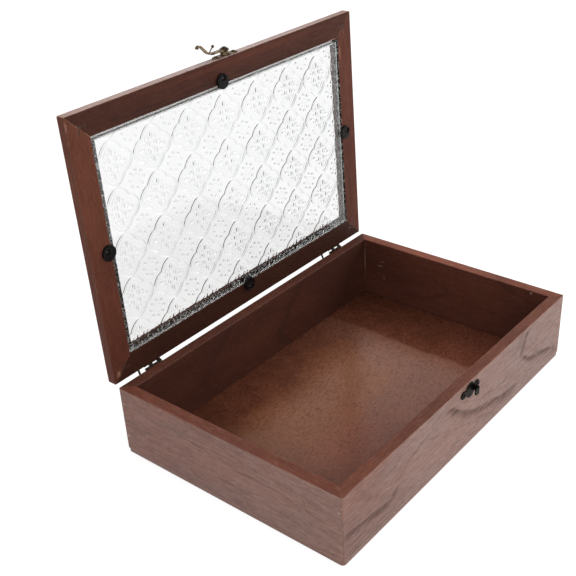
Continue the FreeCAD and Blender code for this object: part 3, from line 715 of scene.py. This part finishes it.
PANE_X = (18.3, 279.7)
PANE_S = (18.3, 179.4)
PANE_H = (-4.0, -0.2)
GRID = 0.68
RELIEF = 0.50
RELIEF_DEEPEST = 0.62
RIPPLE = 0.012
SHARP_ANGLE = math.radians(60.0)
PATTERN_PITCH = (36.8, 33.9)
PATTERN_AT = (143.5, 90.0)
LOBES = (((-3.2, 3.3), 13.0), ((6.8, -2.5), 10.6))
LINE_WIDTH = 0.95
LINE_HEIGHT = 0.95
INNER_LINE = (2.4, 0.8, 0.55)
CROWN = (6.0, 0.16)
OVAL_STEEPNESS = 7.0
FLOWER = (
    # middle, half sizes and height of the ovals in a medallion's quarter
    ((0.0, 8.5), (0.85, 2.6), 0.75),
    ((9.3, 0.0), (2.4, 0.85), 0.75),
    ((3.1, 2.9), (1.2, 1.9), 0.70),
    ((6.9, 3.2), (0.95, 1.0), 0.60),
    ((3.0, 6.9), (0.95, 1.0), 0.60),
    ((0.0, 0.0), (1.0, 1.0), 0.50),
)
PETALS = 8
DOTS_AWAY = 6.4
DOT_RADIUS = 0.9
DOT_HEIGHT = 0.78
DAISY_RING = (2.9, 1.1, 0.62)
EYE_HEIGHT = 0.40


def oval(x, y, centre, radii):
    """A soft-edged raised oval."""
    far = np.sqrt(((x - centre[0]) / radii[0]) ** 2 + ((y - centre[1]) / radii[1]) ** 2)
    return 1.0 / (1.0 + np.exp((far - 1.0) * OVAL_STEEPNESS))


def medallion(x, y):
    """How far a point is outside a four-lobed medallion with slightly pointed lobes."""
    return np.minimum(*(np.hypot(np.abs(x) - cx, np.abs(y) - cy) - radius
                        for (cx, cy), radius in LOBES))


def medallions(dx, ds):
    """Outlined medallions, a little crowned, with a flower inside."""
    out = medallion(dx, ds)
    depth, crown = CROWN
    inside, width, height = INNER_LINE
    high = LINE_HEIGHT * np.exp(-(out / LINE_WIDTH) ** 2) + crown * np.clip(-out / depth, 0, 1)
    high = high + height * np.exp(-((out + inside) / width) ** 2)
    for centre, radii, height in FLOWER:
        high = high + height * oval(np.abs(dx), np.abs(ds), centre, radii)
    return high


def florets(fx, fy):
    """A ring of dots round a small daisy with an eye."""
    turn = np.arctan2(fy, fx)
    step = 2 * math.pi / PETALS
    near = np.round(turn / step) * step
    radii = (DOT_RADIUS, DOT_RADIUS)
    dots = oval(fx, fy, (DOTS_AWAY * np.cos(near), DOTS_AWAY * np.sin(near)), radii)
    away, width, height = DAISY_RING
    ring = np.exp(-((np.hypot(fx, fy) - away) / width) ** 2)
    daisy = ring * (0.5 + 0.5 * np.cos(PETALS * turn)) * height
    return DOT_HEIGHT * dots + daisy + EYE_HEIGHT * oval(fx, fy, (0, 0), radii)


def pattern(x, s):
    """Height of the pressed pattern, from 0 to about 1."""
    px, ps = PATTERN_PITCH
    dx = (x - PATTERN_AT[0] + px / 2) % px - px / 2
    ds = (s - PATTERN_AT[1] + ps / 2) % ps - ps / 2
    return medallions(dx, ds) + florets((dx + px) % px - px / 2, (ds + ps) % ps - ps / 2)


def pane_mesh(xs, ss, outer_h):
    """Points, faces and material slots of a pane with a relief on its outer face."""
    nx, ns = len(xs), len(ss)
    verts = [lid_point(xs[i], ss[j], outer_h[i, j]) for i in range(nx) for j in range(ns)]
    ring = [i * ns for i in range(nx)] + [(nx - 1) * ns + j for j in range(1, ns)]
    ring += [i * ns + ns - 1 for i in range(nx - 2, -1, -1)] + [j for j in range(ns - 2, 0, -1)]
    inner = {a: nx * ns + k for k, a in enumerate(ring)}
    verts += [lid_point(xs[a // ns], ss[a % ns], PANE_H[1]) for a in ring]
    starts = [a for i in range(nx - 1) for a in range(i * ns, i * ns + ns - 1)]
    faces = [(a, a + 1, a + ns + 1, a + ns) for a in starts]
    slots = [0] * len(faces)
    faces += [(a, b, inner[b], inner[a]) for a, b in zip(ring, ring[1:] + ring[:1])]
    slots += [1] * len(ring)
    faces.append([inner[a] for a in ring])
    slots.append(2)
    return verts, faces, slots


def patterned_pane():
    """The pane: smooth inner face, pressed pattern on its outer face against the lip, cut edges."""
    xs = np.linspace(*PANE_X, int((PANE_X[1] - PANE_X[0]) / GRID) + 1)
    ss = np.linspace(*PANE_S, int((PANE_S[1] - PANE_S[0]) / GRID) + 1)
    gx, gs = np.meshgrid(xs, ss, indexing="ij")
    ripple = RIPPLE * np.sin(gx * 0.83 + 1.3 * np.sin(gs * 0.41)) * np.sin(gs * 0.77 + gx * 0.19)
    height = np.clip(RELIEF * pattern(gx, gs) + ripple, 0.0, RELIEF_DEEPEST)
    verts, faces, slots = pane_mesh(xs, ss, PANE_H[0] + RELIEF_DEEPEST - height)
    materials = [glass_face("patterned_glass_relief", True, RELIEF_ROUGH),
                 glass_edge("patterned_glass_edge"),
                 glass_face("patterned_glass_smooth", False, INNER_ROUGH)]
    pane = new_mesh("patterned_pane", verts, faces, materials, slots)
    outward(pane)
    pane.data.shade_smooth()
    pane.data.set_sharp_from_angle(angle=SHARP_ANGLE)
    pane.visible_shadow = False
    pane.visible_diffuse = False
    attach(pane, "lid")
    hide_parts("glass_pane")


# Mesh helpers

def new_mesh(name, verts, faces, materials, slots=None):
    """An object of its own in the scene, from points in metres."""
    data = bpy.data.meshes.new(name)
    data.from_pydata([tuple(v) for v in verts], [], faces)
    for m in materials:
        data.materials.append(m)
    if slots is not None:
        data.polygons.foreach_set("material_index", slots)
    obj = bpy.data.objects.new(name, data)
    bpy.context.scene.collection.objects.link(obj)
    return obj


def outward(obj):
    """Turns every face's normal outward."""
    bm = bmesh.new()
    bm.from_mesh(obj.data)
    bmesh.ops.recalc_face_normals(bm, faces=bm.faces)
    bm.to_mesh(obj.data)
    bm.free()


# Lines on single boards: axis u, axis v, points (u, v), fade before and after in mm, and strength

FRONT_LINES = (
    (2, 0, ((34, 80), (38, 80.5), (46, 84), (56, 91)), 3.5, 6.5, 0.95),
    (0, 2, ((80, 38), (90, 30), (104, 24), (120, 19), (146, 13)), 6.0, 2.4, 0.95),
    (0, 2, ((-34, 54), (-12, 39), (4, 29.5), (25, 22), (50, 15.5), (80, 11)), 8.0, 3.2, 1.00),
    (0, 2, ((-26, 46), (-8, 33), (12, 24), (30, 18)), 3.0, 7.0, 0.60),
    (0, 2, ((-152, 26), (-126, 22.5), (-104, 18.5), (-86, 27)), 6.0, 2.0, 1.00),
    (0, 2, ((-90, 30), (-70, 38), (-50, 43)), 1.0, 3.0, 0.45),
    (0, 2, ((-20, 56), (6, 38), (30, 31), (60, 27), (84, 25)), 1.2, 0.6, 0.45),
    (0, 2, ((-60, 40), (-30, 32), (0, 21), (40, 9.5), (70, 6)), 1.4, 0.7, 0.40),
    (0, 2, ((92, 44), (104, 35), (122, 29), (148, 24)), 1.2, 0.6, 0.45),
    (0, 2, ((-150, 15), (-124, 12.5), (-100, 9), (-78, 16)), 1.2, 0.6, 0.40),
)
LEFT_LINES = (
    (1, 2, ((-100, 30), (-80, 31), (-39, 35), (-14, 36), (30, 41), (62, 45)), 0.5, 0.9, 0.75),
    (1, 2, ((-60, 46), (-30, 50), (10, 52), (50, 53.5)), 0.5, 1.6, 0.45),
    (1, 2, ((-20, 22), (10, 21), (40, 24), (80, 22)), 1.5, 1.0, 0.30),
)

# Spots on single boards: centre in metres, half sizes in mm, strength and colour

FRONT_CORNER_SPOTS = (
    ((-0.150, -0.100, 0.049), (1.2, 1.2, 2.2), 0.55, WORN_WOOD),
    ((-0.150, -0.100, 0.032), (1.0, 1.0, 1.6), 0.50, WORN_WOOD),
)
RIGHT_SPOTS = (
    ((0.141, 0.0905, 0.037), (3.0, 1.1, 22.0), 0.55, GLUE),
    ((0.141, 0.0738, 0.0351), (3.0, 4.0, 0.9), 0.55, GLUE),
    ((0.141, 0.0710, 0.0400), (3.0, 3.5, 0.8), 0.45, GLUE),
    ((0.141, 0.0694, 0.0240), (3.0, 0.9, 4.0), 0.45, GLUE),
    ((0.141, -0.0758, 0.0551), (2.5, 1.6, 1.2), 0.90, DUST),
)
LID_SPOTS = (
    (lid_point(150, 183, 0), (150.0, 4.0, 5.0), 0.34, STAIN_DARK),
    (lid_point(170, 196, 0), (150.0, 1.2, 4.0), 0.34, STAIN_MID),
    # painted sheen along the lid's top edge
    (lid_point(150, 200.3, -3.7), (190.0, 6.0, 0.9), 0.55, TOP_EDGE_SHEEN),
    (lid_point(64, 186, 0), (17.0, 4.0, 3.2), 0.45, STAIN_DARK),
    (lid_point(40, 187, 0), (9.0, 4.0, 3.0), 0.35, STAIN_DARK),
    (lid_point(130, 186, 0), (15.0, 4.0, 3.6), 0.40, STAIN_DARK),
    (lid_point(168, 187, 0), (20.0, 4.0, 3.4), 0.40, STAIN_DARK),
    (lid_point(5, 7, 0), (3.0, 2.5, 3.6), 0.40, WORN_WOOD),
    (lid_point(0.5, 194, 0), (1.0, 1.2, 5.0), 0.45, WORN_WOOD),
    # pale strokes along the inner edge above the pane's top right corner and down the right stile
    (lid_point(276, 182, 0), (9.0, 3.0, 1.2), 0.60, WORN_WOOD),
    (lid_point(284, 170, 0), (1.2, 3.0, 8.0), 0.50, WORN_WOOD),
)

# Year rings: spacing and start in mm, slope, and the pith's place in metres across the board

FRONT_RINGS = (58.0, 0.55, -38.0, (-0.092, 0.052))
BACK_RINGS = (50.0, 0.55, 5.0, (0.108, 0.022))
LEFT_RINGS = (26.0, 0.10, 0.0, (-0.162, -0.03))
RIGHT_RINGS = (44.0, 0.4, 0.0, (0.142, 0.030))
RAIL_RINGS = (30.0, 0.06, 0.0, (0.12, 0.30))
STILE_RINGS = (30.0, 0.06, 0.0, (-0.2, 0.14))
PANE_OUTER_H = -3.4


def box_boards():
    """The box's board materials, with the nodes that have them."""
    # shade and top paint shade on the inner faces and the rim; sheen_paint is the painted sheen on
    # the outer face
    front = wood("stained_wood_front", along=0, seed=1, outer=(0, -1, 0), sheen_paint=0.27, shade=0.5,
                 top=0.66, rings=FRONT_RINGS, figure=0.26, sheen_fade=(-0.125, -0.06),
                 lines=FRONT_LINES, spots=FRONT_CORNER_SPOTS)
    back = wood("stained_wood_back", along=0, seed=5, outer=(0, 1, 0), sheen_paint=0.22, shade=0.36,
                top=0.40, rings=BACK_RINGS, figure=0.6, streaks=0.12)
    left = wood("stained_wood_left", along=1, seed=2, outer=(-1, 0, 0), sheen_paint=0.21, shade=0.5,
                top=0.73, rings=LEFT_RINGS, figure=0.22, tone=1.08, sheen_fade=(0.07, -0.085),
                lines=LEFT_LINES, spots=FRONT_CORNER_SPOTS)
    right = wood("stained_wood_right", along=1, seed=3, outer=(1, 0, 0), sheen_paint=0.22, shade=0.54,
                 top=1.0, rings=RIGHT_RINGS, figure=0.5, streaks=0.16, spots=RIGHT_SPOTS)
    return {front: ["box_front"], back: ["box_back"], left: ["box_left"], right: ["box_right"],
            panel_wood("stained_wood_panel"): ["box_bottom"]}


def lid_frame():
    """The lid's rail and stile materials, with the nodes that have them."""
    away = tuple((lid_point(0, 0, -1) - lid_point(0, 0, 0)).normalized())
    behind = lid_point(0, 0, PANE_OUTER_H).dot(Vector(away))
    shared = {"outer": away, "sheen_paint": 0.20, "spec": 0.20, "streaks": 0.14, "spots": LID_SPOTS}
    # Behind the pane: painted light under the front rail, painted shadow under the back rail and
    # the stiles
    # shade and top paint shade on the faces that do not look out
    front = wood("stained_wood_front_rail", along=0, seed=7, shade=0.34, top=1.0,
                 rings=RAIL_RINGS, figure=0.45, top_sheen_paint=0.50,
                 glazed=((0, 0, -1), behind, LIP_LIGHT_PAINT, LIP_LIGHT_CURLS), **shared)
    back = wood("stained_wood_back_rail", along=0, seed=8, shade=0.24, top=0.24,
                rings=RAIL_RINGS, figure=0.45,
                glazed=((0, 0, 1), behind, LIP_SHADOW_PAINT, LIP_SHADOW_CURLS), **shared)
    stiles = wood("stained_wood_stiles", along=2, seed=9, shade=0.66, top=0.66,
                  rings=STILE_RINGS, figure=0.30,
                  glazed=(None, behind, LIP_SHADOW_PAINT, LIP_SHADOW_CURLS), **shared)
    return {front: ["lid_front_rail"], back: ["lid_back_rail"],
            stiles: ["lid_left_stile", "lid_right_stile"]}


def fittings():
    """The metal and rubber materials, with the nodes that have them."""
    return {
        metal("latch_bronze"): ["latch_plate", "latch_rivet", "latch_screws", "latch_hook"],
        metal("catch_bronze"): ["catch_plate", "catch_nose", "catch_screws"],
        metal("hinge_bronze"): ["hinge_box_leaf_left", "hinge_box_leaf_right",
                                "hinge_lid_leaf_left", "hinge_lid_leaf_right", "hinge_pins",
                                "hinge_box_screws", "hinge_lid_screws"],
        metal("brad_steel"): ["corner_brads", "bottom_brads"],
        metal("nail_steel"): ["lid_corner_nails", "lid_stop_pins"],
        metal("dark_screws"): ["retainer_screws"],
        rubber("black_rubber"): ["retainer_left", "retainer_right", "retainer_front",
                                 "retainer_back"],
    }


def finish_nodes():
    """Gives every CAD node its material."""
    for material, names in (box_boards() | lid_frame() | fittings()).items():
        for name in names:
            data = NODES[name].data
            if not data.materials:
                data.materials.append(material)
            for k in range(len(data.materials)):
                data.materials[k] = material


# Studio, in metres and watts

FLOOR_SIZE = 30.0
FLOOR_GREY = (0.8, 0.8, 0.8)
FLOOR_SHADOW_GREY = (0.3, 0.3, 0.3)
FLOOR_REACH = (0.7, 2.5)
WHITE_FLOOR = 0.80
WHITE_THROUGH_GLASS = 0.96
WORLD_LEVEL = 0.42
CEILING_RISE = (0.60, 0.90)
CEILING_LEVEL = 0.25
LAMPS = (
    # name, place, aim, width, height, power
    ("key", (-0.9, -1.3, 1.5), (0.0, 0.0, 0.05), 1.2, 1.2, 16.0),
    ("side", (1.4, -1.0, 0.8), (0.05, 0.0, 0.05), 1.2, 1.0, 11.0),
    ("top", (0.1, 0.1, 1.9), (0.0, 0.0, 0.0), 1.2, 1.2, 18.0),
)


def add_world():
    """A white surround up to a good way above the horizon, under a darker ceiling. It lights the
    object at a lower level than it shows."""
    world = bpy.data.worlds.new("studio")
    bpy.context.scene.world = world
    world.use_nodes = True
    sky = Tree(world.node_tree)
    back = sky.tree.nodes["Background"]
    path = sky.node("ShaderNodeLightPath").outputs
    height = sky.split(sky.node("ShaderNodeTexCoord").outputs["Generated"])["Z"]
    ceiling = sky.span(height, *CEILING_RISE, 1.0, CEILING_LEVEL)
    light = sky.blend(path["Is Glossy Ray"], WORLD_LEVEL, ceiling)
    straight = sky.most(path["Is Camera Ray"], path["Is Transmission Ray"])
    sky.feed(back.inputs["Color"], (1.0, 1.0, 1.0))
    sky.feed(back.inputs["Strength"], sky.blend(straight, light, 1.0))


def floor_material():
    """White that keeps a soft shadow to the eye and in reflections, plain white through glass, and
    pale grey to all other light."""
    mat = bpy.data.materials.new("studio_floor")
    mat.use_nodes = True
    sh = Tree(mat.node_tree)
    sh.tree.nodes.clear()
    path = sh.node("ShaderNodeLightPath").outputs
    far = sh.vector("LENGTH", sh.node("ShaderNodeTexCoord").outputs["Object"])
    glow = sh.span(far, *FLOOR_REACH, WHITE_FLOOR, 1.0, "LINEAR")
    plain = sh.shader("ShaderNodeBsdfDiffuse", Color=FLOOR_GREY)
    shadow = sh.shader("ShaderNodeBsdfDiffuse", Color=FLOOR_SHADOW_GREY)
    through = sh.shader("ShaderNodeEmission", Strength=WHITE_THROUGH_GLASS)
    glow = sh.shader("ShaderNodeEmission", Strength=glow)
    white = sh.call("ShaderNodeAddShader", (shadow, glow)).outputs[0]
    seen = sh.most(path["Is Camera Ray"], path["Is Glossy Ray"])
    surface = sh.call("ShaderNodeMixShader", (seen, plain, white)).outputs[0]
    surface = sh.call("ShaderNodeMixShader", (path["Is Transmission Ray"], surface, through))
    sh.feed(sh.node("ShaderNodeOutputMaterial").inputs[0], surface.outputs[0])
    return mat


def add_floor():
    """A plain white floor, wide enough for low views."""
    half = FLOOR_SIZE / 2
    corners = [(-half, -half, 0), (half, -half, 0), (half, half, 0), (-half, half, 0)]
    floor = new_mesh("studio_floor", corners, [(0, 1, 2, 3)], [floor_material()])


def add_lamps():
    """Soft boxes round the object, out of sight in reflections."""
    for name, place, aim, width, height, power in LAMPS:
        data = bpy.data.lights.new(name, "AREA")
        data.shape = "RECTANGLE"
        data.size, data.size_y = width, height
        data.energy = power
        lamp = bpy.data.objects.new(name, data)
        lamp.location = place
        lamp.rotation_mode = "QUATERNION"
        lamp.rotation_quaternion = (Vector(aim) - Vector(place)).to_track_quat("-Z", "Y")
        lamp.visible_glossy = False
        bpy.context.scene.collection.objects.link(lamp)


bpy.context.scene.view_settings.view_transform = "Standard"
add_camera()
add_world()
add_floor()
add_lamps()
finish_nodes()
patterned_pane()

bpy.context.view_layer.update()
